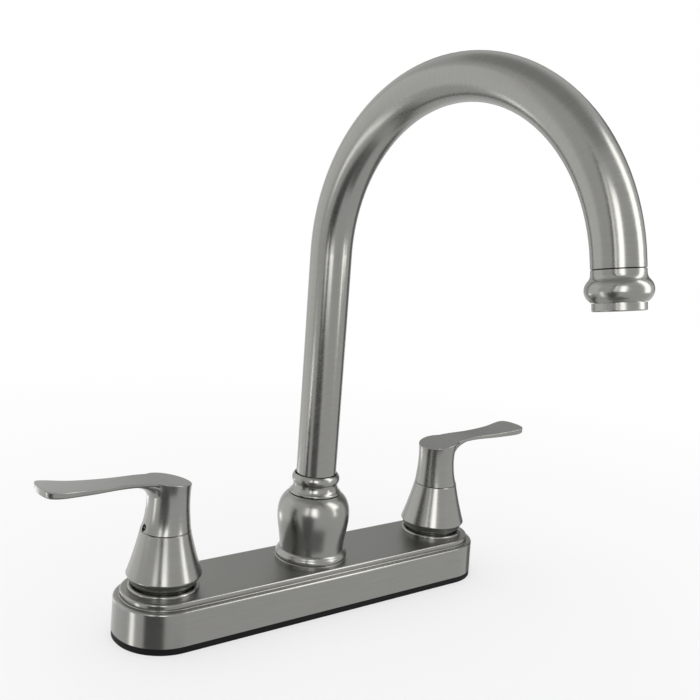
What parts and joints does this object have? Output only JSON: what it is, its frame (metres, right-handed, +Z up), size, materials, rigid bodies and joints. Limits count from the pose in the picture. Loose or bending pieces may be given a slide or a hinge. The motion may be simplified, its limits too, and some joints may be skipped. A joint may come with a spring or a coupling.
{
  "type": "kitchen faucet",
  "caption": "High-arc deck-mounted kitchen faucet with a swivelling gooseneck spout, a long deck cover and quarter-turn lever handles for hot and cold water.",
  "frame": {"origin": "on the sink deck, under the gasket, midway between the two inlet shanks", "axes": "+Z up, -Y towards the user, +X along the deck from the hot handle to the cold one"},
  "size_m": [0.349, 0.2409, 0.3773],
  "materials": {
    "cover_nickel": "satin brushed nickel, grain along the deck",
    "hub_nickel": "satin brushed nickel, grain round the axis",
    "bonnet_nickel": "satin brushed nickel, grain round the axis",
    "handle_nickel": "satin brushed nickel",
    "spout_nickel": "satin brushed nickel, grain round the tube",
    "nozzle_nickel": "satin brushed nickel, grain round the axis",
    "gasket_rubber": "moulded black, low sheen",
    "seal_rubber": "black",
    "valve_brass": "cast and machined",
    "cartridge_brass": "machined",
    "tube_copper": "drawn copper tube",
    "disc_ceramic": "lapped white ceramic",
    "washer_nylon": "moulded",
    "nut_plastic": "moulded black",
    "aerator_plastic": "moulded pale grey",
    "stop_steel": "stamped stainless steel",
    "screw_steel": "dark stainless steel"
  },
  "bodies": {
    "base": {"deck_gasket": "gasket_rubber", "deck_cover": "cover_nickel", "spout_post": "valve_brass", "spout_hub": "hub_nickel", "spout_collar": "hub_nickel", "spout_thrust_washer": "washer_nylon", "spout_glide_ring": "washer_nylon", "hot_valve_body": "valve_brass", "cold_valve_body": "valve_brass", "hot_cross_tube": "tube_copper", "cold_cross_tube": "tube_copper", "hot_friction_washer": "washer_nylon", "cold_friction_washer": "washer_nylon", "hot_wing_nut": "nut_plastic", "cold_wing_nut": "nut_plastic", "hot_bonnet": "bonnet_nickel", "cold_bonnet": "bonnet_nickel", "hot_cartridge_body": "cartridge_brass", "cold_cartridge_body": "cartridge_brass", "hot_cartridge_o_ring": "seal_rubber", "cold_cartridge_o_ring": "seal_rubber", "hot_seat_seal": "seal_rubber", "cold_seat_seal": "seal_rubber", "hot_fixed_disc": "disc_ceramic", "cold_fixed_disc": "disc_ceramic"},
    "spout": {"spout_tube": "spout_nickel", "spout_tail": "valve_brass", "spout_tail_o_rings": "seal_rubber", "spout_nozzle": "nozzle_nickel", "aerator_housing": "nozzle_nickel", "aerator_insert": "aerator_plastic", "aerator_screen": "stop_steel", "aerator_washer": "seal_rubber"},
    "hot_lever": {"hot_moving_disc": "disc_ceramic", "hot_stem": "cartridge_brass", "hot_stem_o_rings": "seal_rubber", "hot_stop_washer": "stop_steel", "hot_retaining_clip": "stop_steel", "hot_handle": "handle_nickel", "hot_set_screw": "screw_steel"},
    "cold_lever": {"cold_moving_disc": "disc_ceramic", "cold_stem": "cartridge_brass", "cold_stem_o_rings": "seal_rubber", "cold_stop_washer": "stop_steel", "cold_retaining_clip": "stop_steel", "cold_handle": "handle_nickel", "cold_set_screw": "screw_steel"}
  },
  "joints": [
    {"name": "spout_swivel", "type": "hinge", "parent": "base", "child": "spout", "pos_m": [0, 0, 0.07], "axis": [0, 0, 1], "continuous": true},
    {"name": "hot_handle_turn", "type": "hinge", "parent": "base", "child": "hot_lever", "pos_m": [-0.1016, 0, 0.06], "axis": [0, 0, 1], "range_deg": [0, 90]},
    {"name": "cold_handle_turn", "type": "hinge", "parent": "base", "child": "cold_lever", "pos_m": [0.1016, 0, 0.06], "axis": [0, 0, 1], "range_deg": [-90, 0]}
  ]
}
